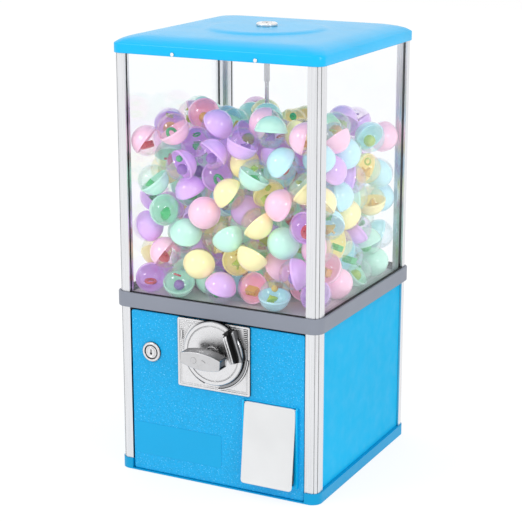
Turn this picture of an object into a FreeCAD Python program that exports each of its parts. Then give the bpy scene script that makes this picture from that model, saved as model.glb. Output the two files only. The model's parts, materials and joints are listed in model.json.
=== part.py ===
"""A counter-top capsule vending machine, in millimetres, +Z up.

The origin is on the floor under the centre of the square cabinet. The front faces -Y.
A plinth, four corner posts, a belt and a lid make the cabinet. The upper half is a clear
hopper full of capsules, and the lower half holds the coin mechanism, wheel, chute and coin box.
"""

import FreeCAD, Part
import math
import os
import random
from FreeCAD import Vector

# Driving dimensions.
POST_FACE = 157.0  # outer faces of the corner posts, from the centre
POST_LEG = 19.0
POST_THICK = 11.0
POST_LIP = 2.85
SLOT_WIDE, SLOT_DEEP = 3.3, 6.0
POST_CORNER_R = 11.0
POST_SCREW_AT = 8.0  # from both outer faces
POST_BOTTOM, POST_TOP = 16.0, 612.0
POST_GROOVE = (5.0, 5.9, 2.2)  # a fine groove on each outer face: its two sides and its depth

PANE_OUT, PANE_IN = 154.0, 151.0  # sheets that slide in the post slots
PANE_HALF = 143.6
PANE_BOTTOM, PANE_TOP = 257.6, 611.4
LOWER_BOTTOM, LOWER_TOP = 16.2, 248.7

BASE_HALF, BASE_R, BASE_WALL, BASE_FLOOR = 159.0, 15.0, 12.0, 3.0
BASE_NOTCH = (-138.0, 138.0, -170.0, -152.5, 1.7)  # where the door's foot stands in the base
BAND_HALF, BAND_R, BAND_IN, BAND_EDGE_R = 161.0, 16.0, 157.3, 1.2
BAND_Z0, BAND_Z1 = 247.0, 268.5
LEDGE_Z0, LEDGE_Z1, LEDGE_IN = 249.0, 257.3, 143.0
LEDGE_HALF = 137.6

LID_HALF, LID_R, LID_WALL = 159.5, 14.0, 2.3
LID_INNER_R = 11.3
LID_Z0, LID_CREASE, LID_TOP = 607.0, 620.5, 635.0
LID_SCREW_X, LID_SCREW_Z = (-61.0, 64.0), 610.2
FRAME_Z0, FRAME_Z1, FRAME_HALF, FRAME_IN = 612.2, 615.2, 156.5, 140.0

DOOR_HALF, DOOR_Z0, DOOR_Z1 = 136.5, 2.0, 243.3
DOOR_FACE, DOOR_SHEET = -156.0, 1.5

PLATE_X0, PLATE_X1, PLATE_Z0, PLATE_Z1 = -59.7, 54.5, 142.5, 243.6
PLATE_FRONT, PLATE_BACK = -159.2, -156.05
DRUM_Z, DRUM_R, DRUM_FRONT, DRUM_INSET_R = 199.5, 46.6, -166.0, 40.0
DRUM_WALL = 3.0
SHAFT_Z, SHAFT_R, SHAFT_FRONT, SHAFT_END = 199.5, 5.0, -196.0, -94.2
GUIDE_X, GUIDE_Z, GUIDE_LEAN = 33.0, 215.0, 17.5
HOUSING_X0, HOUSING_X1 = -49.0, 40.0
PAWL_PIVOT = (-36.0, 175.5)
RATCHET_R, RATCHET_TEETH, RATCHET_Y0, RATCHET_Y1 = 24.0, 12, -124.0, -120.0
HUB_R, HANDLE_BACK, HANDLE_FRONT = 8.0, -182.0, -204.0
HANDLE_TILT = 4.0  # degrees, clockwise seen from the front
HANDLE_HALF, HANDLE_TALL, HANDLE_END = 31.0, 24.5, 14.0

LOCK_X, LOCK_Z, LOCK_BEZEL_R, LOCK_BODY_R, LOCK_PLUG_R = -103.5, 184.7, 14.5, 9.4, 6.5
LOCK_FRONT = -159.4
CAM_Y0, CAM_Y1, CAM_LONG = -144.6, -142.6, 40.0

FLAP_X0, FLAP_X1, FLAP_TOP, FLAP_LONG = 46.0, 125.0, 136.5, 117.8
FLAP_AXIS_Y, FLAP_AXIS_Z, FLAP_TILT = -158.4, 134.8, 6.2
FLAP_FRONT, FLAP_THICK, FLAP_BARREL_R, FLAP_PIN_R = -160.2, 2.6, 1.8, 0.9

TRAY_Z0, TRAY_Z1, TRAY_HALF, TRAY_HOLE_R = 257.6, 260.6, 145.5, 106.5
BOWL_R, BOWL_WALL, BOWL_TOP = 106.0, 3.0, 257.4
CHANNEL_Z, CHANNEL_R = 201.0, 89.0
DISC_Z0, DISC_Z1, DISC_R = 209.5, 212.0, 92.0
WHEEL_R, WHEEL_Z0, WHEEL_Z1 = 104.0, 214.6, 260.0
POCKETS, POCKET_R, POCKET_AT, POCKET_WALL = 6, 25.0, 66.0, 2.0
DROP_ANGLE = -20.0  # degrees from +X; the empty pocket stands over this hole
DROP_R = 26.0
GEAR_TEETH, PINION_TEETH, GEAR_R = 72, 12, 98.0
GEAR_IN, GEAR_OUT, GEAR_TOP = 94.0, 104.0, 221.5
BACKLASH = 1.3
PINION_Y0, PINION_Y1 = -104.0, -96.4
ROD_R, ROD_TOP, SLEEVE_R, SLEEVE_Z0 = 3.0, 634.0, 4.2, 557.0

CHUTE_X0, CHUTE_X1, CHUTE_WALL = 35.5, 122.0, 2.5
COIN_BOX = (-98.0, 22.0, -138.0, -20.0, 3.2, 90.0)

CAPSULE_R, CAPSULE_WALL = 22.5, 1.5
PILE_FLOOR, PILE_MIDDLE, PILE_SLOPE = 262.4, 508.0, 0.11  # the heap is higher at the front
PILE_GAP, PILE_STEP, PILE_LOOSE, PILE_STRAY = 0.2, 3.0, 2.0, 3.0
COLOURS = ("lilac", "rose", "mint", "lemon", "sky")
COLOUR_SHARES = (24, 22, 24, 22, 8)
HEAP_SEED = 11

X, Y, Z = Vector(1, 0, 0), Vector(0, 1, 0), Vector(0, 0, 1)
ORIGIN = Vector(0, 0, 0)


def save(name, shapes):
    """Writes one node. A list becomes a group of separate solids."""
    if isinstance(shapes, list):
        shapes = Part.makeCompound([s for part in shapes for s in part.Solids])
    shapes.exportStep(f"parts/{name}.step")
    print(f"{name}: {len(shapes.Solids)} solids, {shapes.Volume / 1000:.1f} cm3")


def box(x0, x1, y0, y1, z0, z1):
    return Part.makeBox(x1 - x0, y1 - y0, z1 - z0, Vector(x0, y0, z0))


def rod(radius, start, end):
    start, end = Vector(*start), Vector(*end)
    return Part.makeCylinder(radius, (end - start).Length, start, end - start)


def along_y(radius, x, z, y0, y1):
    return rod(radius, (x, y0, z), (x, y1, z))


def tube(outer, inner, z0, z1, x=0.0, y=0.0):
    return rod(outer, (x, y, z0), (x, y, z1)).cut(rod(inner, (x, y, z0 - 1), (x, y, z1 + 1)))


def prism(points, direction):
    corners = [Vector(*p) for p in points]
    return Part.Face(Part.makePolygon(corners + corners[:1])).extrude(direction)


def profile_yz(points, x0, x1):
    """A prism along X whose outline is given as (y, z) points."""
    return prism([(x0, y, z) for y, z in points], X * (x1 - x0))


def round_edges(shape, radius, axis):
    """Rounds the straight edges that run along an axis."""
    chosen = []
    for edge in shape.Edges:
        if isinstance(edge.Curve, Part.Line) and abs(edge.Curve.Direction.dot(axis)) > 0.999:
            chosen.append(edge)
    return shape.makeFillet(radius, chosen)


def edges_at_y(shape, y):
    """The edges that lie flat in one plane facing the front."""
    return [e for e in shape.Edges if abs(e.CenterOfMass.y - y) < 0.01 and e.BoundBox.YLength < 0.01]


def square(half, radius, z0, z1):
    """An upright prism, square with rounded corners."""
    return round_edges(box(-half, half, -half, half, z0, z1), radius, Z)


def square_wire(half, radius, z):
    """The outline of a rounded square, for lofts."""
    flat, edges = half - radius, []
    for turn in range(4):
        angle = math.radians(90 * turn)

        def at(x, y):
            return Vector(
                x * math.cos(angle) - y * math.sin(angle),
                x * math.sin(angle) + y * math.cos(angle),
                z,
            )

        middle = flat + radius * math.sqrt(0.5)
        edges.append(Part.makeLine(at(half, -flat), at(half, flat)))
        edges.append(Part.Arc(at(half, flat), at(middle, middle), at(flat, half)).toShape())
    return Part.Wire(edges)


def ring_of(shape, count, first=0.0):
    """Copies of a shape, evenly turned about the Z axis."""
    copies = []
    for i in range(count):
        copy = shape.copy()
        copy.rotate(ORIGIN, Z, first + 360.0 * i / count)
        copies.append(copy)
    return copies


def hexagon(across_flats, x, y, z0, z1):
    radius = across_flats / math.sqrt(3)
    points = []
    for i in range(6):
        angle = math.radians(60 * i)
        points.append((x + radius * math.cos(angle), y + radius * math.sin(angle), z0))
    return prism(points, Z * (z1 - z0))


# Cabinet.


def make_base():
    body = square(BASE_HALF, BASE_R, 0, POST_BOTTOM)
    inner, block = BASE_HALF - BASE_WALL, POST_FACE - POST_LEG - 2
    body = body.cut(box(-inner, inner, -block, block, BASE_FLOOR, POST_BOTTOM + 1))
    body = body.cut(box(-block, block, -inner, inner, BASE_FLOOR, POST_BOTTOM + 1))
    body = body.cut(box(*BASE_NOTCH, POST_BOTTOM + 1))
    body = body.fuse(tube(12, ROD_R + 0.05, BASE_FLOOR, POST_BOTTOM))
    for x, y in post_screw_places():
        body = body.cut(rod(2.3, (x, y, -1), (x, y, 20))).cut(rod(4.6, (x, y, -1), (x, y, 4)))
    save("base_tray", body.removeSplitter())


def post_screw_places():
    at = POST_FACE - POST_SCREW_AT
    return [(sx * at, sy * at) for sx in (-1, 1) for sy in (-1, 1)]


def post_solid():
    """The front left post: an L extrusion with two slots, two fine grooves and a screw bore."""
    slot_end = POST_LIP + SLOT_WIDE
    inward = POST_LEG - SLOT_DEEP
    half = [
        (POST_LEG, 0),
        (POST_LEG, POST_LIP),
        (inward, POST_LIP),
        (inward, slot_end),
        (POST_LEG, slot_end),
        (POST_LEG, POST_THICK),
        (POST_THICK, POST_THICK),
    ]
    other = [(v, u) for u, v in reversed(half[:-1])]
    outline = half + other + [(0, 0)]
    corner = -POST_FACE
    corners = [(corner + u, corner + v, POST_BOTTOM) for u, v in outline]
    solid = prism(corners, Z * (POST_TOP - POST_BOTTOM))
    edges = [
        e
        for e in solid.Edges
        if all(abs(v.X - corner) < 0.01 and abs(v.Y - corner) < 0.01 for v in e.Vertexes)
    ]
    solid = solid.makeFillet(POST_CORNER_R, edges)
    groove0, groove1, deep = (corner + at for at in POST_GROOVE)
    solid = solid.cut(box(groove0, groove1, corner - 1, deep, 0, 700))
    solid = solid.cut(box(corner - 1, deep, groove0, groove1, 0, 700))
    at = corner + POST_SCREW_AT
    return solid.cut(rod(2.1, (at, at, 0), (at, at, 700)))


def make_posts():
    names = ("post_front_left", "post_front_right", "post_rear_right", "post_rear_left")
    for name, shape in zip(names, ring_of(post_solid(), 4)):
        save(name, shape)


def make_post_screws():
    screws, top = [], FRAME_Z1 + 0.05
    for x, y in post_screw_places():
        screws.append(rod(4.2, (x, y, 0.8), (x, y, 3.9)).fuse(rod(2.0, (x, y, 3.9), (x, y, 34))))
        head = rod(4.0, (x, y, top), (x, y, top + 2.2))
        screws.append(head.fuse(rod(2.0, (x, y, 594), (x, y, top))))
    save("post_screws", screws)


def make_band():
    ring = square(BAND_HALF, BAND_R, BAND_Z0, BAND_Z1)
    ring = ring.cut(square(BAND_IN, LID_INNER_R, BAND_Z0 - 1, BAND_Z1 + 1))
    ledge = box(-LEDGE_HALF, LEDGE_HALF, -157.6, -LEDGE_IN, LEDGE_Z0, LEDGE_Z1)
    for bar in ring_of(ledge, 4):
        ring = ring.fuse(bar)
    outer_edges = [
        e
        for e in ring.Edges
        if max(abs(e.CenterOfMass.x), abs(e.CenterOfMass.y)) > 150
        and abs(e.BoundBox.ZLength) < 0.01
        and min(abs(e.CenterOfMass.z - BAND_Z0), abs(e.CenterOfMass.z - BAND_Z1)) < 0.01
        and max(e.BoundBox.XMax, -e.BoundBox.XMin, e.BoundBox.YMax, -e.BoundBox.YMin) > BAND_HALF - 0.01
    ]
    save("middle_band", ring.makeFillet(BAND_EDGE_R, outer_edges))


def make_top_frame():
    frame = square(FRAME_HALF, LID_INNER_R, FRAME_Z0, FRAME_Z1).cut(
        square(FRAME_IN, 10, FRAME_Z0 - 1, FRAME_Z1 + 1)
    )
    for x, y in post_screw_places():
        frame = frame.cut(rod(2.3, (x, y, 600), (x, y, 630)))
    save("top_frame", frame)


def make_panes():
    pane = box(-PANE_HALF, PANE_HALF, -PANE_OUT, -PANE_IN, PANE_BOTTOM, PANE_TOP)
    names = ("window_front", "window_right", "window_rear", "window_left")
    for name, shape in zip(names, ring_of(pane, 4)):
        save(name, shape)
    lower = box(-PANE_HALF, PANE_HALF, -PANE_OUT, -PANE_IN, LOWER_BOTTOM, LOWER_TOP)
    names = ("side_panel_right", "rear_panel", "side_panel_left")
    for name, shape in zip(names, ring_of(lower, 4)[1:]):
        save(name, shape)
    seal = box(-LEDGE_HALF, LEDGE_HALF, -157.2, -PANE_OUT - 0.05, 264.0, BAND_Z1 + 1.3)
    save("window_seals", ring_of(seal, 4))


def lid_shell(inset, drop):
    """The outer form of the lid, or with an inset and a drop, the space inside it."""
    sections = (
        (LID_HALF, LID_R, LID_CREASE),
        (152.5, 17.0, 625.3),
        (143.0, 22.0, 628.6),
        (126.0, 32.0, 631.0),
        (88.0, 87.0, 632.2),
        (77.0, 76.0, LID_TOP),
    )
    corner = LID_INNER_R if inset else LID_R
    body = square(LID_HALF - inset, corner, LID_Z0 - drop, LID_CREASE - drop)
    wires = []
    for half, radius, z in sections:
        radius = max(corner, min(radius, half - 1) - inset)
        wires.append(square_wire(half - inset, radius, z - drop))
    return body.fuse(Part.makeLoft(wires, True, True))


def make_lid():
    lid = lid_shell(0, 0).cut(lid_shell(LID_WALL, 2.4))
    lid = lid.cut(rod(9.0, (0, 0, 600), (0, 0, 650)))
    for x in LID_SCREW_X:
        lid = lid.cut(along_y(1.6, x, LID_SCREW_Z, -170, -150))
    save("lid", lid.removeSplitter())


def make_lid_screws():
    screws = []
    for x in LID_SCREW_X:
        head = along_y(2.6, x, LID_SCREW_Z, -161.0, -159.55)
        screws.append(head.fuse(along_y(1.55, x, LID_SCREW_Z, -159.55, -157.3)))
    save("lid_screws", screws)


def make_lid_lock():
    cap = rod(15, (0, 0, 635.3), (0, 0, 640))
    top = [e for e in cap.Edges if abs(e.CenterOfMass.z - 640) < 0.01 and e.BoundBox.ZLength < 0.01]
    cap = cap.makeFillet(2.5, top).cut(rod(7.5, (0, 0, 636.5), (0, 0, 645)))
    save("lid_lock_cap", cap.cut(rod(5, (0, 0, 600), (0, 0, 645))))
    plug = rod(7.4, (0, 0, 636.55), (0, 0, 639.6)).cut(box(-1.1, 1.1, -4.2, 4.2, 637.6, 645))
    save("lid_lock_plug", plug)
    sleeve = rod(SLEEVE_R, (0, 0, SLEEVE_Z0), (0, 0, 636.5))
    sleeve = sleeve.fuse(rod(8.92, (0, 0, 630), (0, 0, 635.25)))
    save("lid_lock_sleeve", sleeve.cut(rod(ROD_R + 0.08, (0, 0, 500), (0, 0, 634.6))))


def make_centre_rod():
    save("centre_rod", rod(ROD_R, (0, 0, BASE_FLOOR + 0.1), (0, 0, ROD_TOP)))
    nuts = []
    for z0 in (POST_BOTTOM + 0.05, 203.5):
        nuts.append(hexagon(10, 0, 0, z0, z0 + 5).cut(rod(ROD_R + 0.02, (0, 0, 0), (0, 0, 300))))
    save("rod_nuts", nuts)


# Hopper floor, wheel and chute.


def drop_place():
    angle = math.radians(DROP_ANGLE)
    return POCKET_AT * math.cos(angle), POCKET_AT * math.sin(angle)


def make_hopper_tray():
    tray = box(-TRAY_HALF, TRAY_HALF, -TRAY_HALF, TRAY_HALF, TRAY_Z0, TRAY_Z1)
    tray = tray.fuse(box(-137, 137, -150.6, 150.6, TRAY_Z0, TRAY_Z1))
    tray = tray.fuse(box(-150.6, 150.6, -137, 137, TRAY_Z0, TRAY_Z1))
    save("hopper_tray", tray.cut(rod(TRAY_HOLE_R, (0, 0, 200), (0, 0, 300))).removeSplitter())


def make_wheel_bowl():
    """A round bowl under the tray, with a channel for the gear and a raised floor for the capsules."""
    outer = BOWL_R + BOWL_WALL
    bowl = tube(outer, BOWL_R, CHANNEL_Z, BOWL_TOP)
    bowl = bowl.fuse(tube(outer + 12, outer - 1, BOWL_TOP - 3, BOWL_TOP))
    bowl = bowl.fuse(tube(outer, CHANNEL_R, CHANNEL_Z, CHANNEL_Z + 2))
    bowl = bowl.fuse(tube(DISC_R, CHANNEL_R, CHANNEL_Z, DISC_Z1))
    bowl = bowl.fuse(rod(DISC_R, (0, 0, DISC_Z0), (0, 0, DISC_Z1)))
    x, y = drop_place()
    bowl = bowl.cut(rod(DROP_R, (x, y, 190), (x, y, 230)))
    bowl = bowl.cut(rod(ROD_R + 0.05, (0, 0, 190), (0, 0, 230)))
    window = box(-22, 22, -BOWL_R - 10, -DISC_R - 0.5, CHANNEL_Z - 1, GEAR_TOP - 1.2)
    save("wheel_bowl", bowl.cut(window).removeSplitter())


def make_guard():
    """A steel plate that keeps the heap off the capsule that is about to drop."""
    x, y = drop_place()
    angle = math.radians(DROP_ANGLE)
    reach = 122.0
    side = Vector(-math.sin(angle), math.cos(angle), 0) * 24
    out = Vector(math.cos(angle), math.sin(angle), 0)
    z = TRAY_Z1 + 0.05
    corners = []
    for distance, sign in ((POCKET_AT, -1), (reach, -1), (reach, 1), (POCKET_AT, 1)):
        point = out * distance + side * sign
        corners.append((point.x, point.y, z))
    plate = rod(29, (x, y, z), (x, y, z + 1.5)).fuse(prism(corners, Z * 1.5))
    save("dispenser_guard", plate.removeSplitter())


def pocket_places():
    places = []
    for i in range(POCKETS):
        angle = math.radians(DROP_ANGLE + 360.0 * i / POCKETS)
        places.append((POCKET_AT * math.cos(angle), POCKET_AT * math.sin(angle)))
    return places


def make_capsule_wheel():
    """A moulded wheel: a top plate, six pocket tubes, a rim, a hub and webs between them."""
    parts = [tube(WHEEL_R, WHEEL_R - 3, GEAR_TOP, WHEEL_Z1)]
    parts.append(tube(12, 5.0, WHEEL_Z0, WHEEL_Z1))
    parts += [tube(POCKET_R + POCKET_WALL, POCKET_R, WHEEL_Z0, WHEEL_Z1, x, y) for x, y in pocket_places()]
    web = box(11, WHEEL_R - 2, -1.25, 1.25, GEAR_TOP + 3, WHEEL_Z1)
    parts += ring_of(web, POCKETS, DROP_ANGLE + 180.0 / POCKETS)
    plate = rod(WHEEL_R, (0, 0, WHEEL_Z1 - 3), (0, 0, WHEEL_Z1)).cut(rod(5.0, (0, 0, 0), (0, 0, 300)))
    for x, y in pocket_places():
        plate = plate.cut(rod(POCKET_R, (x, y, 200), (x, y, 300)))
    save("capsule_wheel", plate.multiFuse(parts).removeSplitter())
    save("wheel_bush", tube(4.98, ROD_R + 0.08, WHEEL_Z0 - 1.5, WHEEL_Z1))


def module():
    return 2 * GEAR_R / GEAR_TEETH


def pitch_plane():
    return SHAFT_Z + module() * PINION_TEETH / 2


def tooth_width():
    return math.pi * module() / 2 - BACKLASH / 2


def make_face_gear():
    """A flat ring with straight teeth on its underside, a gap of it facing the shaft."""
    slope = math.tan(math.radians(20))
    tip_z, root_z = pitch_plane() - 0.8 * module(), pitch_plane() + module()
    half_tip = tooth_width() / 2 - 0.8 * module() * slope
    half_root = tooth_width() / 2 + module() * slope
    tooth = prism(
        [
            (GEAR_IN, -half_tip, tip_z),
            (GEAR_IN, half_tip, tip_z),
            (GEAR_IN, half_root, root_z + 0.2),
            (GEAR_IN, -half_root, root_z + 0.2),
        ],
        X * (GEAR_OUT - GEAR_IN - 0.1),
    )
    ring = tube(GEAR_OUT, GEAR_IN, root_z, GEAR_TOP)
    teeth = ring_of(tooth, GEAR_TEETH, 180.0 / GEAR_TEETH)
    inside = tube(GEAR_OUT, GEAR_IN, tip_z - 1, GEAR_TOP)
    save("wheel_face_gear", ring.multiFuse(teeth).common(inside).removeSplitter())


def involute(angle):
    return math.tan(angle) - angle


def pinion_outline():
    """(x, z) points of the drive pinion about its axis, with one tooth straight up."""
    pitch_r = module() * PINION_TEETH / 2
    pressure = math.radians(20)
    base_r = pitch_r * math.cos(pressure)
    radii = [pitch_r - module() * 1.1, base_r, 0.5 * (base_r + pitch_r), pitch_r]
    radii += [pitch_r + 0.4 * module(), pitch_r + 0.8 * module()]
    flank = []
    for radius in radii:
        ratio = min(1.0, base_r / radius)
        half = tooth_width() / (2 * pitch_r) + involute(pressure) - involute(math.acos(ratio))
        flank.append((radius, half))
    points = []
    for i in range(PINION_TEETH):
        middle = 2 * math.pi * i / PINION_TEETH
        for radius, half in flank:
            points.append((radius * math.sin(middle - half), radius * math.cos(middle - half)))
        for radius, half in reversed(flank):
            points.append((radius * math.sin(middle + half), radius * math.cos(middle + half)))
    return points


def make_drive_pinion():
    corners = [(x, PINION_Y0, SHAFT_Z + z) for x, z in pinion_outline()]
    gear = prism(corners, Y * (PINION_Y1 - PINION_Y0))
    gear = gear.fuse(along_y(9, 0, SHAFT_Z, PINION_Y0 - 5, PINION_Y0 + 1))
    save("drive_pinion", gear.cut(along_y(SHAFT_R + 0.02, 0, SHAFT_Z, -300, 0)).removeSplitter())


def make_chute():
    """A closed duct from under the drop hole, down a slope and out at the front."""
    inner = [(-50, 201), (5, 201), (5, 112), (-149.3, 24), (-149.3, 131), (-95, 131), (-50, 165)]
    outer = [(-52.5, 200), (7.5, 200), (7.5, 110.5), (-149.2, 21.2), (-149.2, 133.5)]
    outer += [(-94, 133.5), (-52.5, 165)]
    body = profile_yz(outer, CHUTE_X0 - CHUTE_WALL, CHUTE_X1 + CHUTE_WALL)
    body = body.cut(profile_yz(inner, CHUTE_X0, CHUTE_X1))
    foot = profile_yz([(-60, BASE_FLOOR), (0, BASE_FLOOR), (0, 107), (-60, 73)], 77, 80)
    save("capsule_chute", body.fuse(foot).removeSplitter())


def make_coin_box():
    x0, x1, y0, y1, z0, z1 = COIN_BOX
    wall = 2.0
    body = round_edges(box(x0, x1, y0, y1, z0, z1), 4, Z)
    hollow = round_edges(box(x0 + wall, x1 - wall, y0 + wall, y1 - wall, z0 + wall, z1 + 1), 2, Z)
    save("coin_box", body.cut(hollow))


# Front door and what it carries.


def make_door():
    """A folded steel sheet with openings for the mechanism, the lock and the outlet."""
    back = -152.8
    skin = round_edges(box(-DOOR_HALF, DOOR_HALF, DOOR_FACE, back, DOOR_Z0, DOOR_Z1), 3.5, Y)
    skin = skin.makeFillet(1.2, edges_at_y(skin, DOOR_FACE))
    t = DOOR_SHEET
    half = DOOR_HALF - t
    hollow = box(-half, half, DOOR_FACE + t, back + 1, DOOR_Z0 + t + 0.5, DOOR_Z1 - t)
    skin = skin.cut(round_edges(hollow, 2.5, Y))
    for side in (-1, 1):
        x0, x1 = sorted((side * DOOR_HALF, side * (DOOR_HALF - t)))
        skin = skin.fuse(box(x0, x1, back - 0.5, -148, POST_BOTTOM + 2, DOOR_Z1 - 4))
    skin = skin.cut(along_y(40.5, 0, DRUM_Z, -170, -150))
    skin = skin.cut(along_y(LOCK_BODY_R + 0.1, LOCK_X, LOCK_Z, -170, -150))
    skin = skin.cut(box(47.3, 123.7, -170, -150, 20.3, 133.7))
    for x, z in mech_screw_places():
        skin = skin.cut(along_y(1.7, x, z, -170, -150))
    save("front_door", skin.removeSplitter())


def make_blank_label():
    label = round_edges(box(-133.0, 7.3, DOOR_FACE - 0.35, DOOR_FACE - 0.01, 27.0, 75.5), 2, Y)
    save("blank_label", label)


def mech_screw_places():
    return [(x, z) for x in (PLATE_X0 + 6, PLATE_X1 - 6) for z in (PLATE_Z0 + 6, PLATE_Z1 - 7.3)]


def guide_frame(shape):
    """Leans a piece drawn upright at the guide's centre into the slot's direction."""
    shape.rotate(Vector(GUIDE_X, 0, GUIDE_Z), Y, -GUIDE_LEAN)
    return shape


def make_faceplate():
    """A die-cast plate with a raised drum, ribbed corners and a border."""
    plate = round_edges(box(PLATE_X0, PLATE_X1, PLATE_FRONT, PLATE_BACK, PLATE_Z0, PLATE_Z1), 3, Y)
    y0, y1 = PLATE_FRONT - 1, PLATE_FRONT + 0.8
    border = box(PLATE_X0 + 5, PLATE_X1 - 5, y0, y1, PLATE_Z0 + 5, PLATE_Z1 - 5)
    plate = plate.cut(round_edges(border, 2, Y))
    drum = along_y(DRUM_R, 0, DRUM_Z, DRUM_FRONT, PLATE_BACK)
    drum = drum.makeFillet(1.6, edges_at_y(drum, DRUM_FRONT))
    drum = drum.cut(along_y(DRUM_INSET_R, 0, DRUM_Z, DRUM_FRONT - 1, DRUM_FRONT + 0.8))
    ribs = []
    for i in range(9):
        z = 197.5 + i * 4.6
        for x0, x1 in ((PLATE_X0 + 3, -30.0), (30.0, PLATE_X1 - 3)):
            ribs.append(box(x0, x1, PLATE_FRONT - 0.5, PLATE_FRONT + 1.2, z, z + 2.0))
    body = plate.multiFuse([drum] + ribs)
    body = body.fuse(along_y(10, 0, SHAFT_Z, DRUM_FRONT - 1.5, DRUM_FRONT + 2))
    body = body.cut(along_y(DRUM_R - DRUM_WALL, 0, DRUM_Z, DRUM_FRONT + DRUM_WALL, 0))
    body = body.cut(along_y(SHAFT_R + 0.06, 0, SHAFT_Z, -300, 0))
    for x, z in mech_screw_places():
        body = body.cut(along_y(1.3, x, z, -157.6, -150))
    slot = guide_frame(box(GUIDE_X - 1.4, GUIDE_X + 1.4, -200, -150, 196, 234))
    save("coin_faceplate", body.cut(slot).removeSplitter())


def make_coin_guide():
    """A raised double rail with the coin slot between its walls."""
    y0 = -176.0
    outline = [(y0, 196), (y0 - 0.01, 232), (-168, 240), (-166.05, 240), (-166.05, 192), (-170, 192)]
    left = profile_yz(outline, GUIDE_X - 6.4, GUIDE_X - 1.6)
    right = profile_yz(outline, GUIDE_X + 1.6, GUIDE_X + 6.4)
    left = round_edges(left, 0.8, Z)
    floor = box(GUIDE_X - 2, GUIDE_X + 2, -168.4, -166.05, 192, 196.2)
    save("coin_slot_guide", guide_frame(left.fuse(right).fuse(floor)).removeSplitter())


def make_mech_housing():
    """A cast cup behind the door that carries the back end of the shaft."""
    x0, x1, wall = HOUSING_X0, HOUSING_X1, 2.5
    cup = round_edges(box(x0, x1, -154.4, -112, 150, 240), 6, Y)
    cup = cup.cut(round_edges(box(x0 + wall, x1 - wall, -160, -114.5, 152.5, 237.5), 4, Y))
    cup = cup.fuse(along_y(10, 0, SHAFT_Z, -118, -110))
    cup = cup.cut(along_y(SHAFT_R + 0.06, 0, SHAFT_Z, -300, 0))
    cup = cup.cut(box(-18, 18, -152, -128, 140, 160))
    cup = cup.cut(along_y(2.02, *PAWL_PIVOT, -120, -100))
    for x, z in mech_screw_places():
        lug_x0, lug_x1 = (HOUSING_X1 - 1, x + 5) if x > 0 else (x - 5, HOUSING_X0 + 1)
        lug = box(lug_x0, lug_x1, -154.4, -150.4, z - 5, z + 5)
        cup = cup.fuse(lug).cut(along_y(1.3, x, z, -170, -140))
    save("mech_housing", cup.removeSplitter())


def make_mech_screws():
    """The four screws come from behind and end inside the face plate."""
    screws = []
    for x, z in mech_screw_places():
        head = along_y(3.0, x, z, -150.35, -148.2)
        screws.append(head.fuse(along_y(1.25, x, z, -157.5, -150.35)))
    save("mech_screws", screws)


def make_coin_carrier():
    disc = along_y(37.5, 0, SHAFT_Z, -162.6, -159.6)
    disc = disc.cut(along_y(12.6, 26.0, SHAFT_Z + 22.0, -170, -150))
    save("coin_carrier", disc.cut(along_y(SHAFT_R + 0.02, 0, SHAFT_Z, -300, 0)))


def make_ratchet():
    points = []
    for i in range(RATCHET_TEETH):
        start = 2 * math.pi * i / RATCHET_TEETH
        end = start + 2 * math.pi / RATCHET_TEETH * 0.97
        points.append(((RATCHET_R - 4) * math.sin(start), (RATCHET_R - 4) * math.cos(start)))
        points.append((RATCHET_R * math.sin(end), RATCHET_R * math.cos(end)))
    corners = [(x, RATCHET_Y0, SHAFT_Z + z) for x, z in points]
    wheel = prism(corners, Y * (RATCHET_Y1 - RATCHET_Y0))
    wheel = wheel.fuse(along_y(9, 0, SHAFT_Z, RATCHET_Y0 - 6, RATCHET_Y1))
    save("ratchet_wheel", wheel.cut(along_y(SHAFT_R + 0.02, 0, SHAFT_Z, -300, 0)).removeSplitter())


def make_pawl():
    """A short lever that points at the ratchet from below left, with its pin and leaf spring."""
    px, pz = PAWL_PIVOT
    to_axis = Vector(-px, 0, SHAFT_Z - pz)
    length = to_axis.Length - RATCHET_R - 0.6
    pointing = to_axis * (1 / to_axis.Length)
    across = Vector(pointing.z, 0, -pointing.x)
    centre = Vector(px, RATCHET_Y0 + 0.2, pz)
    tip = centre + pointing * length
    a, b = centre + across * 3.4, centre - across * 3.4
    near = centre + pointing * (length - 4)
    shape = [a, near + across * 1.8, tip, near - across * 2.6, b]
    lever = prism([tuple(p) for p in shape], Y * 3.6)
    lever = lever.fuse(along_y(4.4, px, pz, RATCHET_Y0 + 0.2, RATCHET_Y0 + 3.8))
    save("pawl", lever.cut(along_y(2.07, px, pz, -200, -100)).removeSplitter())
    pin = along_y(2.0, px, pz, RATCHET_Y0 - 2, -112)
    pin = pin.fuse(along_y(3.2, px, pz, RATCHET_Y0 - 3, RATCHET_Y0 - 1))
    save("pawl_pivot", pin)
    y0, y1 = RATCHET_Y0 + 0.5, RATCHET_Y0 + 3.5
    z1 = PAWL_PIVOT[1] + 26
    leaf = box(-46.4, -45.8, y0, y1, z1 - 36, z1)
    foot = box(-46.4, -40.2, y0, y1, z1 - 0.6, z1)
    save("pawl_spring", leaf.fuse(foot).removeSplitter())


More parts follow.
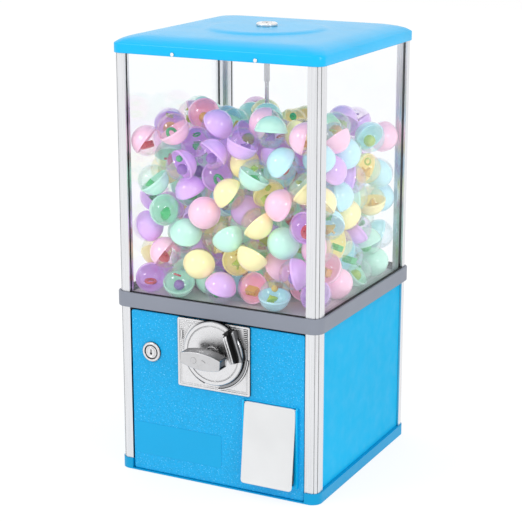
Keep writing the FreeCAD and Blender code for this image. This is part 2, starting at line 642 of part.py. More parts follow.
def make_handle():
    """A tapered bar that is crowned above and below, on a round boss, leaning clockwise."""
    bulge = (HANDLE_TALL - HANDLE_END) / 2
    end = HANDLE_END / 2
    y0 = HANDLE_BACK
    z = SHAFT_Z

    def at(x, dz):
        return Vector(x, y0, z + dz)

    edges = [
        Part.Arc(at(-HANDLE_HALF, end), at(0, end + bulge), at(HANDLE_HALF, end)).toShape(),
        Part.makeLine(at(HANDLE_HALF, end), at(HANDLE_HALF, -end)),
        Part.Arc(at(HANDLE_HALF, -end), at(0, -end - bulge), at(-HANDLE_HALF, -end)).toShape(),
        Part.makeLine(at(-HANDLE_HALF, -end), at(-HANDLE_HALF, end)),
    ]
    bar = Part.Face(Part.Wire(edges)).extrude(Y * (HANDLE_FRONT - y0))
    bar = bar.makeFillet(1.5, [e for e in bar.Edges if e.BoundBox.YLength > 10])
    bar = bar.makeFillet(1.0, edges_at_y(bar, HANDLE_FRONT))
    boss = along_y(HUB_R, 0, z, -168.0, y0 - 1)
    handle = bar.fuse(boss)
    handle = handle.cut(along_y(SHAFT_R + 0.02, 0, z, SHAFT_FRONT - 0.1, 0))
    handle = handle.cut(rod(1.6, (0, -190, z - 4), (0, -190, z - 30)))
    handle.rotate(Vector(0, 0, z), Y, HANDLE_TILT)
    save("handle", handle.removeSplitter())
    screw = rod(1.55, (0, -190, z - SHAFT_R - 0.05), (0, -190, z - 8.6))
    screw.rotate(Vector(0, 0, z), Y, HANDLE_TILT)
    save("handle_shaft", along_y(SHAFT_R, 0, z, SHAFT_FRONT, SHAFT_END))
    clip = along_y(8, 0, z, -96.2, -95.2).cut(along_y(SHAFT_R + 0.02, 0, z, -300, 0))
    clip = clip.cut(box(-3.5, 3.5, -97, -94, z - 10, z))
    save("shaft_fasteners", [screw, clip])


def make_lock():
    """A cam lock: a bezel, a plug with a keyway, the cam behind the post, and a nut."""
    bezel = along_y(LOCK_BEZEL_R, LOCK_X, LOCK_Z, LOCK_FRONT, PLATE_BACK)
    bezel = bezel.makeFillet(1.4, edges_at_y(bezel, LOCK_FRONT))
    bezel = bezel.fuse(along_y(LOCK_BODY_R, LOCK_X, LOCK_Z, -157, -145.2))
    save("lock_bezel", bezel.cut(along_y(LOCK_PLUG_R + 0.06, LOCK_X, LOCK_Z, -300, 0)))
    plug = along_y(LOCK_PLUG_R, LOCK_X, LOCK_Z, LOCK_FRONT + 0.2, CAM_Y0)
    plug = plug.cut(box(LOCK_X - 0.7, LOCK_X + 0.7, -165, -150, LOCK_Z - 3.8, LOCK_Z + 3.8))
    plug = plug.fuse(box(LOCK_X - 3, LOCK_X + 3, CAM_Y0 - 0.1, CAM_Y1 + 1.5, LOCK_Z - 3, LOCK_Z + 3))
    save("lock_plug", plug.removeSplitter())
    arm = box(LOCK_X - 7, LOCK_X + 7, CAM_Y0, CAM_Y1, LOCK_Z - CAM_LONG, LOCK_Z)
    arm = arm.fuse(along_y(9, LOCK_X, LOCK_Z, CAM_Y0, CAM_Y1))
    hole = box(LOCK_X - 3.02, LOCK_X + 3.02, -150, -140, LOCK_Z - 3.02, LOCK_Z + 3.02)
    save("lock_cam", arm.cut(hole).removeSplitter())
    turns = [math.radians(60 * i) for i in range(6)]
    corners = [(LOCK_X + 14 * math.cos(a), -154.4, LOCK_Z + 14 * math.sin(a)) for a in turns]
    nut = prism(corners, Y * 4)
    save("lock_nut", nut.cut(along_y(LOCK_BODY_R + 0.02, LOCK_X, LOCK_Z, -300, 0)))


def on_flap_axis(radius, x0, x1):
    return rod(radius, (x0, FLAP_AXIS_Y, FLAP_AXIS_Z), (x1, FLAP_AXIS_Y, FLAP_AXIS_Z))


def make_outlet():
    """The plastic surround of the outlet, with two cheeks and a scoop, and the hinged flap."""
    lip = round_edges(box(43.0, 128.0, -157.0, DOOR_FACE - 0.05, 17.6, 139.0), 3, Y)
    ring = lip.fuse(box(47.6, 123.4, -156.5, -149.6, 20.6, 133.4))
    cheek = [(-156.2, 19.5), (-160.4, 22), (-160.8, 134.8), (-159.4, 137.6), (-156.2, 138.4)]
    for x0, x1 in ((43.0, 45.6), (125.4, 128.0)):
        ring = ring.fuse(profile_yz(cheek, x0, x1))
    ring = ring.cut(box(49.6, 121.4, -170, -140, 22.6, 131.6))
    ring = ring.cut(box(45.65, 125.35, -170, -155.9, 131, 137.6))
    scoop = [(-156.2, 20.6), (-168.4, 20.6), (-168.4, 27), (-166.4, 27), (-166.4, 22.6), (-156.2, 22.6)]
    ring = ring.fuse(profile_yz(scoop, 52, 119))
    ring = ring.cut(on_flap_axis(FLAP_PIN_R + 0.01, 30, 140))
    save("outlet_surround", ring.removeSplitter())

    front, bottom = FLAP_FRONT, FLAP_TOP - FLAP_LONG
    plate = round_edges(box(FLAP_X0, FLAP_X1, front, front + FLAP_THICK, bottom, FLAP_TOP), 4.5, Y)
    plate = plate.makeFillet(0.9, edges_at_y(plate, front))
    inset = box(FLAP_X0 + 3, FLAP_X1 - 3, front - 1, front + 0.5, bottom + 3, FLAP_TOP - 3)
    plate = plate.cut(round_edges(inset, 2.5, Y))
    flap = plate.fuse(on_flap_axis(FLAP_BARREL_R, FLAP_X0 + 5, FLAP_X1 - 5))
    flap = flap.cut(on_flap_axis(FLAP_PIN_R + 0.06, 30, 140))
    flap.rotate(Vector(0, FLAP_AXIS_Y, FLAP_AXIS_Z), X, -FLAP_TILT)
    save("outlet_flap", flap.removeSplitter())
    save("flap_hinge_pin", on_flap_axis(FLAP_PIN_R, 43.4, 127.6))


# Capsules.


def clear_of_cabinet(x, y):
    """Whether a capsule's centre there misses the posts and the centre rod."""
    reach = CAPSULE_R + PILE_GAP
    if math.hypot(x, y) < reach + ROD_R:
        return False
    ax, ay = abs(x), abs(y)
    inner, leg = POST_FACE - POST_THICK, POST_FACE - POST_LEG
    near_a = math.hypot(max(0.0, leg - ax), max(0.0, inner - ay))
    near_b = math.hypot(max(0.0, inner - ax), max(0.0, leg - ay))
    return min(near_a, near_b) > reach


def heap():
    """Capsule centres, each dropped at about the lowest free place, those by the walls first."""
    pick = random.Random(HEAP_SEED)
    limit = PANE_IN - CAPSULE_R - PILE_GAP
    count = int(2 * limit / PILE_STEP) + 1
    spots = [-limit + 2 * limit * i / (count - 1) for i in range(count)]
    floor = PILE_FLOOR + CAPSULE_R
    level = {(x, y): floor for x in spots for y in spots if clear_of_cabinet(x, y)}
    apart = 2 * CAPSULE_R + PILE_GAP
    placed = []
    while True:
        free = {spot: z for spot, z in level.items() if z < PILE_MIDDLE - PILE_SLOPE * spot[1]}
        if not free:
            return placed
        lowest = min(free.values())
        near = {}
        for (x, y), z in free.items():
            if z < lowest + PILE_LOOSE:
                near[x, y] = max(abs(x), abs(y)) + pick.uniform(0, PILE_STRAY)
        x0, y0 = max(near, key=near.get)
        z0 = level[x0, y0]
        placed.append((x0, y0, z0))
        for (x, y), z in level.items():
            flat = apart * apart - (x - x0) ** 2 - (y - y0) ** 2
            if flat > 0:
                level[x, y] = max(z, z0 + math.sqrt(flat))


def half_shell(sign):
    """Half of a hollow ball about the origin, its open side towards the seam plane."""
    shell = Part.makeSphere(CAPSULE_R).cut(Part.makeSphere(CAPSULE_R - CAPSULE_WALL))
    gap = 0.06
    side = CAPSULE_R + 1
    if sign < 0:
        return shell.common(box(-side, side, -side, side, -side, -gap))
    return shell.common(box(-side, side, -side, side, gap, side))


def turned(shape, centre, axis, angle):
    copy = shape.copy()
    copy.Placement = FreeCAD.Placement(Vector(*centre), FreeCAD.Rotation(axis, angle))
    return copy


def lean(pick):
    """A random tip of a capsule: an axis in the XY plane and an angle about it."""
    heading = pick.uniform(0, 2 * math.pi)
    angle = math.degrees(math.acos(pick.uniform(-1, 1)))
    return Vector(math.cos(heading), math.sin(heading), 0), angle


def make_capsules():
    """The heap, by the colour of the cups, and the capsules that ride in the wheel's pockets."""
    cup, cover = half_shell(-1), half_shell(1)
    pick = random.Random(HEAP_SEED + 1)
    centres = heap()
    print(f"{len(centres)} capsules, top at {max(z for _, _, z in centres) + CAPSULE_R:.0f}")
    cups = {colour: [] for colour in COLOURS}
    covers = []
    for centre in centres:
        axis, angle = lean(pick)
        cups[pick.choices(COLOURS, COLOUR_SHARES)[0]].append(turned(cup, centre, axis, angle))
        covers.append(turned(cover, centre, axis, angle))
    for colour in COLOURS:
        save(f"capsule_cups_{colour}", cups[colour])
    save("capsule_covers", covers)
    in_wheel = []
    for x, y in pocket_places()[1:]:
        axis, angle = lean(pick)
        centre = (x, y, DISC_Z1 + 0.4 + CAPSULE_R)
        in_wheel += [turned(half, centre, axis, angle) for half in (cup, cover)]
    save("wheel_capsules", in_wheel)


def main():
    os.makedirs("parts", exist_ok=True)
    make_base()
    make_posts()
    make_post_screws()
    make_band()
    make_top_frame()
    make_panes()
    make_lid()
    make_lid_screws()
    make_lid_lock()
    make_centre_rod()
    make_hopper_tray()
    make_wheel_bowl()
    make_guard()
    make_capsule_wheel()
    make_face_gear()
    make_drive_pinion()
    make_chute()
    make_coin_box()
    make_door()
    make_blank_label()
    make_faceplate()
    make_coin_guide()
    make_mech_housing()
    make_mech_screws()
    make_coin_carrier()
    make_ratchet()
    make_pawl()
    make_handle()
    make_lock()
    make_outlet()
    make_capsules()


main()
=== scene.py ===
import json
import math
import random

import bmesh
import bpy
import numpy as np
from mathutils import Matrix, Vector


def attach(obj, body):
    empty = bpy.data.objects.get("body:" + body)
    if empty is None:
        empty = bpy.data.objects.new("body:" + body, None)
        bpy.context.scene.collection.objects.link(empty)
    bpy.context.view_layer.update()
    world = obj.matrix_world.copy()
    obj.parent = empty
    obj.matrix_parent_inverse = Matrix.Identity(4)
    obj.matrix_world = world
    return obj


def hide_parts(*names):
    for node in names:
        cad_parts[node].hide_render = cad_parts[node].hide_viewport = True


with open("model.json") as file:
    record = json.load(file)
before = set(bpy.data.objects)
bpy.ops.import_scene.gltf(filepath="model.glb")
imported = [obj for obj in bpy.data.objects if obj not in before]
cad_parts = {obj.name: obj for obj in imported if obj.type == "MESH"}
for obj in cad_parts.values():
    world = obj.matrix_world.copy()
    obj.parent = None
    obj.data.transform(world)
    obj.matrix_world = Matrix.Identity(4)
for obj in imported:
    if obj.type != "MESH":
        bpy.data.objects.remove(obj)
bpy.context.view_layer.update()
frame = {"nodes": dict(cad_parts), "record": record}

MM = 0.001

# The camera: it looks from the front, a little from the right and from above.
AZIMUTH, ELEVATION, DISTANCE = 27.05, 15.26, 2.2979
AIM = Vector((-0.0074, -0.0039, 0.2929))
LENS = 108.54

# Coin mechanism, in millimetres.
PLATE_X0, PLATE_X1, PLATE_Z0, PLATE_Z1 = -59.7, 54.5, 142.5, 243.6
PLATE_FRONT, PLATE_FACE, PLATE_BACK, PLATE_HOLE_R = -159.2, -158.7, -156.1, 37.6
RIDGE_FOOT, GUIDE_FOOT = -158.3, -158.5
DRUM_Z, DRUM_R, DRUM_FRONT = 199.5, 46.6, -166.0
DRUM_HOLLOW_R, DRUM_HOLLOW_Y, DRUM_SKIN_Y = 43.6, -163.0, -164.4
SHAFT_Z, HANDLE_TILT = 199.5, 4.0
HANDLE_BACK, HANDLE_FRONT = -182.0, -204.0
HANDLE_HALF, HANDLE_TALL, HANDLE_END = 31.0, 24.5, 14.0
GUIDE_X, GUIDE_Z, GUIDE_LEAN = 33.0, 215.0, 17.5

# Door lock, in millimetres.
LOCK_X, LOCK_Z, LOCK_FRONT = -103.5, 184.7, -159.4

# Outlet flap, in millimetres.
FLAP_X0, FLAP_X1, FLAP_TOP, FLAP_LONG = 46.0, 125.0, 136.5, 117.8
FLAP_AXIS_Y, FLAP_AXIS_Z, FLAP_TILT = -158.4, 134.8, 6.2

# Capsules, in millimetres. The heap is worked out as the CAD model's is.
CAPSULE_R = 22.5
PANE_IN, POST_INNER, POST_LEG, ROD_R = 151.0, 146.0, 138.0, 3.0
PILE_FLOOR, PILE_MIDDLE, PILE_SLOPE = 262.4, 508.0, 0.11
PILE_GAP, PILE_STEP, PILE_LOOSE, PILE_STRAY = 0.2, 3.0, 2.0, 3.0
COLOURS = ("lilac", "rose", "mint", "lemon", "sky")
COLOUR_SHARES = (24, 22, 24, 22, 8)
HEAP_SEED, TOY_SEED = 11, 4
POCKETS, POCKET_AT, DROP_ANGLE, DISC_TOP = 6, 66.0, -20.0, 212.0


# Materials.


def srgb(red, green, blue):
    """A colour given as 0 to 255 screen values, as the linear colour that a shader takes."""

    def linear(value):
        value /= 255
        return value / 12.92 if value <= 0.04045 else ((value + 0.055) / 1.055) ** 2.4

    return (linear(red), linear(green), linear(blue), 1.0)


class Paint:
    """One procedural material: a Principled shader and the few node patterns that feed it."""

    def __init__(self, name, colour, roughness, metallic=0.0, coat=0.0, specular=0.5):
        self.material = bpy.data.materials.new(name)
        self.material.use_nodes = True
        self.tree = self.material.node_tree
        self.shader = self.tree.nodes["Principled BSDF"]
        self.output = self.tree.nodes["Material Output"]
        self.shader.inputs["Base Color"].default_value = colour
        self.shader.inputs["Roughness"].default_value = roughness
        self.shader.inputs["Metallic"].default_value = metallic
        self.shader.inputs["Coat Weight"].default_value = coat
        self.shader.inputs["Coat Roughness"].default_value = 0.08
        self.shader.inputs["Specular IOR Level"].default_value = specular
        self.colour, self.roughness = colour, roughness
        self.normal = None

    def node(self, kind, **inputs):
        node = self.tree.nodes.new(kind)
        for name, value in inputs.items():
            node.inputs[name.replace("_", " ")].default_value = value
        return node

    def link(self, source, target):
        self.tree.links.new(source, target)

    def noise(self, scale, detail=2.0, stretch=(1.0, 1.0, 1.0)):
        """Noise in the piece's own coordinates; scale counts cells to a metre."""
        where = self.node("ShaderNodeTexCoord")
        mapping = self.node("ShaderNodeMapping")
        mapping.inputs["Scale"].default_value = stretch
        noise = self.node("ShaderNodeTexNoise", Scale=scale, Detail=detail)
        self.link(where.outputs["Object"], mapping.inputs["Vector"])
        self.link(mapping.outputs["Vector"], noise.inputs["Vector"])
        return noise.outputs["Fac"]

    def spread(self, value, low, high, start=0.3, end=0.7):
        """Maps a pattern onto a range of values."""
        remap = self.node("ShaderNodeMapRange")
        remap.inputs["From Min"].default_value = start
        remap.inputs["From Max"].default_value = end
        remap.inputs["To Min"].default_value = low
        remap.inputs["To Max"].default_value = high
        self.link(value, remap.inputs["Value"])
        return remap.outputs["Result"]

    def shade(self, value, darker, lighter):
        """Lets a pattern vary the base colour between a darker and a lighter share of it."""
        mix = self.node("ShaderNodeMix")
        mix.data_type = "RGBA"
        mix.inputs["A"].default_value = tuple(min(1, c * darker) for c in self.colour[:3]) + (1,)
        mix.inputs["B"].default_value = tuple(min(1, c * lighter) for c in self.colour[:3]) + (1,)
        self.link(self.spread(value, 0, 1), mix.inputs["Factor"])
        self.link(mix.outputs["Result"], self.shader.inputs["Base Color"])
        return self

    def painted_glints(self, value, colour, most):
        """Painted highlights: scatters small marks of another colour where the pattern peaks."""
        mix = self.node("ShaderNodeMix")
        mix.data_type = "RGBA"
        mix.inputs["B"].default_value = colour
        base = self.shader.inputs["Base Color"]
        self.link(base.links[0].from_socket, mix.inputs["A"])
        self.link(self.spread(value, 0, most, 0.62, 0.74), mix.inputs["Factor"])
        self.link(mix.outputs["Result"], base)
        return self

    def rough(self, value, low, high):
        self.link(self.spread(value, low, high), self.shader.inputs["Roughness"])
        return self

    def soften(self, radius):
        """Rounds the look of sharp edges by this many millimetres."""
        bevel = self.node("ShaderNodeBevel", Radius=radius * MM)
        bevel.samples = 4
        self.normal = bevel.outputs["Normal"]
        self.link(self.normal, self.shader.inputs["Normal"])
        return self

    def bump(self, value, distance, strength=1.0):
        node = self.node("ShaderNodeBump", Strength=strength, Distance=distance * MM)
        self.link(value, node.inputs["Height"])
        if self.normal is not None:
            self.link(self.normal, node.inputs["Normal"])
        self.normal = node.outputs["Normal"]
        self.link(self.normal, self.shader.inputs["Normal"])
        return self

    def multiply(self, value):
        mix = self.node("ShaderNodeMix")
        mix.data_type, mix.blend_type = "RGBA", "MULTIPLY"
        mix.inputs["Factor"].default_value = 1.0
        base = self.shader.inputs["Base Color"]
        self.link(base.links[0].from_socket, mix.inputs["A"])
        self.link(value, mix.inputs["B"])
        self.link(mix.outputs["Result"], base)

    def open_share(self, distance, dark, start, end):
        """How open a place is within this many millimetres, from dark in a hollow to 1."""
        hidden = self.node("ShaderNodeAmbientOcclusion", Distance=distance * MM)
        hidden.samples = 16
        return self.spread(hidden.outputs["AO"], dark, 1.0, start, end)

    def painted_recess_shade(self, distance, dark):
        """Painted shade: darkens the colour in recesses and beside higher parts, within this many
        millimetres.
        """
        self.multiply(self.open_share(distance, dark, 0.16, 0.72))
        return self

    def facing_front(self, low, start, end):
        """How far a face looks to the front, from low on the sides to 1."""
        faces = self.node("ShaderNodeNewGeometry")
        front = self.node("ShaderNodeVectorMath")
        front.operation = "DOT_PRODUCT"
        front.inputs[1].default_value = (0, -1, 0)
        self.link(faces.outputs["Normal"], front.inputs[0])
        return self.spread(front.outputs["Value"], low, 1.0, start, end)

    def painted_away_face_shade(self, dark):
        """Painted shade: a darker colour on the faces that look away from the front."""
        self.multiply(self.facing_front(dark, 0.2, 0.6))
        return self

    def painted_side_recess_shade(self, distance, dark):
        """Painted shade in recesses, but only on faces that look away from the front."""
        larger = self.node("ShaderNodeMath")
        larger.operation = "MAXIMUM"
        self.link(self.facing_front(0.0, 0.55, 0.9), larger.inputs[0])
        self.link(self.open_share(distance, dark, 0.58, 1.05), larger.inputs[1])
        self.multiply(larger.outputs["Value"])
        return self

    def see_through(self, tint, straight, glancing, blend=0.35):
        """Mixes in transparency: straight and glancing are how solid the surface looks."""
        clear = self.node("ShaderNodeBsdfTransparent")
        clear.inputs["Color"].default_value = tint
        weight = self.node("ShaderNodeLayerWeight", Blend=blend)
        mix = self.node("ShaderNodeMixShader")
        solid = self.spread(weight.outputs["Facing"], straight, glancing, 0.0, 1.0)
        self.link(solid, mix.inputs["Fac"])
        self.link(clear.outputs["BSDF"], mix.inputs[1])
        self.link(self.shader.outputs["BSDF"], mix.inputs[2])
        self.link(mix.outputs["Shader"], self.output.inputs["Surface"])
        return self


def moulded(name, colour, roughness, coat=0.0, grain=0.02, edge=0.6, specular=0.4):
    """Moulded plastic: slight colour drift, a fine moulded grain and soft edges."""
    paint = Paint(name, colour, roughness, coat=coat, specular=specular).soften(edge)
    paint.shade(paint.noise(14, 3), 0.96, 1.03)
    paint.rough(paint.noise(24, 2), roughness * 0.95, roughness * 1.1)
    return paint.bump(paint.noise(1600, 2), grain).material


def orange_peel(name, colour):
    """Thick textured powder coat: rounded lumps a few millimetres wide with finer ones on them,
    painted shade in the pits between the lumps and scattered painted highlights.
    """
    paint = Paint(name, colour, 0.4, coat=0.03, specular=0.3).soften(0.8)
    coarse, fine = paint.noise(330, 2), paint.noise(900, 2)
    # The lump pattern also darkens the colour in the pits between lumps, as painted shade; the
    # light blue specks are painted highlights.
    paint.shade(coarse, 0.9, 1.05).painted_glints(paint.noise(520, 1), srgb(112, 212, 252), 0.85)
    paint.rough(fine, 0.28, 0.45)
    return paint.bump(coarse, 0.55, 0.55).bump(fine, 0.18, 0.5).material


def sheet_paint(name, colour, roughness, specular):
    """Smooth paint on sheet metal, with the faint waviness of a sprayed coat."""
    paint = Paint(name, colour, roughness, specular=specular).soften(0.5)
    paint.shade(paint.noise(9, 3), 0.97, 1.03)
    paint.rough(paint.noise(45, 3), roughness * 0.85, roughness * 1.25)
    return paint.bump(paint.noise(260, 2), 0.03, 0.4).material


def drawn_metal(name, colour, roughness, edge=0.4):
    """Metal drawn along Z: long fine lines that catch the light."""
    paint = Paint(name, colour, roughness, metallic=1.0).soften(edge)
    lines = paint.noise(900, 3, (1.0, 1.0, 0.012))
    # The drawn lines vary the colour; grooves and recesses get painted shade.
    paint.shade(lines, 0.93, 1.05).painted_recess_shade(2.5, 0.0)
    paint.rough(lines, roughness * 0.75, roughness * 1.35)
    return paint.bump(lines, 0.015, 0.5).material


def plated(name, colour, roughness, edge=0.5, orange=0.01, dark=0.25, sides=0.25, away_face_shade_level=1.0):
    """Plated metal with a cloudy polish, the slight waves of a casting, and painted shade in
    recesses, on side faces near higher parts and, with a level below 1, on every face that looks
    away from the front.
    """
    paint = Paint(name, colour, roughness, metallic=1.0).soften(edge)
    cloudy = paint.noise(120, 5)
    # Painted shade: darker colour in recesses and on side faces beside higher parts.
    paint.shade(cloudy, 0.95, 1.04).painted_recess_shade(9, dark).painted_side_recess_shade(45, sides)
    # Painted shade on every face that looks away from the front.
    if away_face_shade_level < 1:
        paint.painted_away_face_shade(away_face_shade_level)
    paint.rough(cloudy, roughness * 0.8, roughness * 1.3)
    return paint.bump(paint.noise(420, 3), orange, 0.5).material


def clear_sheet(name, tint, straight, glancing, blend):
    """Clear plastic: nearly nothing seen straight on, and a bright gloss at glancing angles."""
    paint = Paint(name, (0.96, 0.98, 1.0, 1), 0.06, metallic=1.0)
    paint.rough(paint.noise(30, 4), 0.04, 0.12)
    return paint.see_through(tint, straight, glancing, blend).material


def capsule_plastic(name, colour):
    """Glossy pastel plastic with a faint emission: painted light standing in for the glow of thin
    plastic with light behind it.
    """
    paint = Paint(name, colour, 0.16, coat=0.5)
    # Painted light: a faint emission in the capsule's own colour.
    paint.shader.inputs["Emission Color"].default_value = colour
    paint.shader.inputs["Emission Strength"].default_value = 0.14
    paint.shade(paint.noise(40, 3), 0.95, 1.04)
    paint.rough(paint.noise(150, 3), 0.12, 0.24)
    return paint.bump(paint.noise(500, 2), 0.01, 0.4).material


MATERIALS = {
    "blue_plastic": moulded(
        "blue_gloss_plastic", srgb(0, 180, 236), 0.24, grain=0.004, edge=0.8, specular=0.3
    ),
    "blue_textured_steel": orange_peel("blue_powder_coat", srgb(0, 164, 224)),
    "blue_smooth_steel": sheet_paint("blue_sheet_paint", srgb(0, 176, 228), 0.5, 0.14),
    "blue_label": sheet_paint("blue_label_film", srgb(0, 162, 218), 0.42, 0.3),
    "blue_base_plastic": moulded(
        "blue_base_plastic", srgb(0, 152, 205), 0.4, grain=0.01, specular=0.2
    ),
    "grey_plastic": moulded(
        "grey_satin_plastic", srgb(134, 139, 151), 0.46, edge=1.0, specular=0.25
    ),
    # Black rubber for the seals at the windows' feet: real seals whose dark strips also stand in
    # for the shadow gap there, painted shade.
    "black_rubber": moulded("black_rubber", srgb(28, 28, 30), 0.6, grain=0.03, edge=0.3),
    "white_plastic": moulded("white_satin_plastic", srgb(216, 217, 218), 0.36, grain=0.01),
    "wheel_plastic": moulded("wheel_plastic", srgb(205, 212, 220), 0.4),
    "gear_plastic": moulded("gear_plastic", srgb(222, 220, 205), 0.45),
    # Each plated metal below carries painted shade in recesses and beside higher parts.
    "brass": plated("turned_brass", srgb(214, 178, 96), 0.25, 0.3),
    "chrome": plated("chrome", srgb(224, 224, 226), 0.27, 0.4, 0.03, 0.0, 0.0),
    "shaded_chrome": plated("shaded_chrome", srgb(150, 151, 154), 0.25, 0.4, 0.03, 0.0, 0.3),
    # The handle's chrome is also painted darker on every face that looks away from the front:
    # painted shade.
    "cast_chrome": plated("cast_chrome", srgb(202, 202, 204), 0.3, 0.3, 0.08, 0.0, 0.0, 0.45),
    "polished_chrome": plated("polished_chrome", srgb(246, 246, 247), 0.2, 0.5, 0.01, 0.3, 0.8),
    "zinc_steel": plated("zinc_plate", srgb(190, 193, 198), 0.34, 0.5, 0.02),
    "bright_steel": drawn_metal("bright_steel", srgb(198, 199, 202), 0.24, 0.3),
    "aluminium_satin": drawn_metal("satin_aluminium", srgb(226, 227, 230), 0.27),
    "clear_plastic": clear_sheet("clear_sheet", (0.99, 0.995, 1.0, 1), 0.008, 0.22, 0.3),
    "capsule_lilac": capsule_plastic("capsule_lilac", srgb(220, 178, 241)),
    "capsule_rose": capsule_plastic("capsule_rose", srgb(251, 200, 224)),
    "capsule_mint": capsule_plastic("capsule_mint", srgb(190, 238, 220)),
    "capsule_lemon": capsule_plastic("capsule_lemon", srgb(253, 240, 178)),
    "capsule_sky": capsule_plastic("capsule_sky", srgb(190, 234, 244)),
}
# CAD nodes that take another material than the one named after their slot.
OWN_MATERIAL = {
    "base_tray": "blue_base_plastic",
    "lid_lock_cap": "polished_chrome",
    "lid_lock_plug": "polished_chrome",
    "lid_screws": "polished_chrome",
}
COVERS = {
    "lilac": clear_sheet("clear_lilac", (0.985, 0.955, 0.998, 1), 0.02, 0.5, 0.2),
    "rose": clear_sheet("clear_rose", (0.998, 0.955, 0.975, 1), 0.02, 0.5, 0.2),
    "mint": clear_sheet("clear_mint", (0.968, 0.995, 0.984, 1), 0.02, 0.5, 0.2),
    "lemon": clear_sheet("clear_lemon", (1.0, 0.99, 0.93, 1), 0.02, 0.5, 0.2),
    "sky": clear_sheet("clear_sky", (0.965, 0.99, 0.997, 1), 0.02, 0.5, 0.2),
}
TOYS = {
    "green": moulded("toy_green", srgb(40, 198, 112), 0.3, coat=0.3, grain=0.01, edge=0.3),
    "lime": moulded("toy_lime", srgb(178, 208, 66), 0.3, coat=0.3, grain=0.01, edge=0.3),
    "red": moulded("toy_red", srgb(216, 62, 78), 0.3, coat=0.3, grain=0.01, edge=0.3),
    "gold": moulded("toy_gold", srgb(232, 190, 84), 0.3, coat=0.3, grain=0.01, edge=0.3),
    "violet": moulded("toy_violet", srgb(150, 104, 190), 0.3, coat=0.3, grain=0.01, edge=0.3),
}


# Mesh building. Lengths are given in millimetres and stored in metres.


def piece(name, vertices, faces, material, body, smooth_angle=32.0):
    """Makes one named piece that rides on a body."""
    mesh = bpy.data.meshes.new(name)
    mesh.from_pydata((np.asarray(vertices, float) * MM).tolist(), [], faces)
    work = bmesh.new()
    work.from_mesh(mesh)
    bmesh.ops.recalc_face_normals(work, faces=work.faces)
    work.to_mesh(mesh)
    work.free()
    mesh.shade_smooth()
    mesh.set_sharp_from_angle(angle=math.radians(smooth_angle))
    obj = bpy.data.objects.new(name, mesh)
    bpy.context.scene.collection.objects.link(obj)
    mesh.materials.append(material)
    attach(obj, body)
    return obj


class Form:
    """Collects vertices and faces of one piece from several closed forms."""

    def __init__(self):
        self.vertices, self.faces = [], []

    def add(self, vertices, faces, matrix=None):
        start = len(self.vertices)
        if matrix is not None:
            vertices = [tuple(matrix @ Vector(v)) for v in vertices]
        self.vertices += [tuple(v) for v in vertices]
        self.faces += [tuple(start + i for i in face) for face in faces]
        return self

    def loft(self, rings, matrix=None, loop=False):
        """Quads between rings of equal length, closed by end faces or, as a loop, on itself."""
        count = len(rings[0])
        vertices = [point for ring in rings for point in ring]
        faces = []
        for row in range(len(rings) if loop else len(rings) - 1):
            a, b = row * count, (row + 1) % len(rings) * count
            for i in range(count):
                j = (i + 1) % count
                faces.append((a + i, a + j, b + j, b + i))
        if not loop:
            faces.append(tuple(reversed(range(count))))
            faces.append(tuple(range(len(vertices) - count, len(vertices))))
        return self.add(vertices, faces, matrix)

    def turned(self, profile, centre, steps, axis="Y", matrix=None, loop=False):
        """Turns (radius, height) points about an axis; they end on it or, as a loop, close."""
        rings = []
        for radius, height in profile:
            ring = []
            for i in range(steps):
                angle = 2 * math.pi * i / steps
                u, v = radius * math.cos(angle), radius * math.sin(angle)
                x, y, z = (u, height, v) if axis == "Y" else (u, v, height)
                ring.append((centre[0] + x, centre[1] + y, centre[2] + z))
            rings.append(ring)
        return self.loft(rings, matrix, loop)

    def block(self, x0, x1, y0, y1, z0, z1, edge, matrix=None):
        """A box with its front and long edges chamfered; its front is at y0."""
        rings = []
        for inset, y in ((0, y1), (0, y0 + edge), (edge, y0)):
            left, right, low, high = x0 + inset, x1 - inset, z0 + inset, z1 - inset
            rings.append([(left, y, low), (right, y, low), (right, y, high), (left, y, high)])
        return self.loft(rings, matrix)


def corner_ring(half_u, half_v, radius, steps=10):
    """The outline of a rounded rectangle about the origin, as (u, v) points."""
    points = []
    corners = ((1, 1, 0), (-1, 1, 90), (-1, -1, 180), (1, -1, 270))
    for side_u, side_v, first in corners:
        for i in range(steps + 1):
            angle = math.radians(first + 90 * i / steps)
            u = side_u * (half_u - radius) + radius * math.cos(angle)
            v = side_v * (half_v - radius) + radius * math.sin(angle)
            points.append((u, v))
    return points


def front_rings(x0, x1, z0, z1, radius, profile):
    """Rounded rectangles facing -Y, one for each (inset, y) of the profile."""
    rings = []
    for inset, y in profile:
        half_u, half_v = (x1 - x0) / 2 - inset, (z1 - z0) / 2 - inset
        outline = corner_ring(half_u, half_v, max(0.2, radius - inset))
        rings.append([((x0 + x1) / 2 + u, y, (z0 + z1) / 2 + v) for u, v in outline])
    return rings


def about_y(x, z, degrees):
    """A turn about a line along Y, clockwise seen from the front."""
    place = Matrix.Translation((x, 0, z))
    return place @ Matrix.Rotation(math.radians(degrees), 4, "Y") @ place.inverted()


# Lid.


def smooth_steps(points, steps):
    """A Catmull-Rom curve through the points."""
    points = [np.array(p, float) for p in points]
    padded = [2 * points[0] - points[1]] + points + [2 * points[-1] - points[-2]]
    curve = []
    for a, b, c, d in zip(padded, padded[1:], padded[2:], padded[3:]):
        for i in range(steps):
            t = i / steps
            linear, square, cube = c - a, 2 * a - 5 * b + 4 * c - d, 3 * b - a - 3 * c + d
            curve.append(0.5 * (2 * b + linear * t + square * t * t + cube * t**3))
    return curve + [points[-1]]


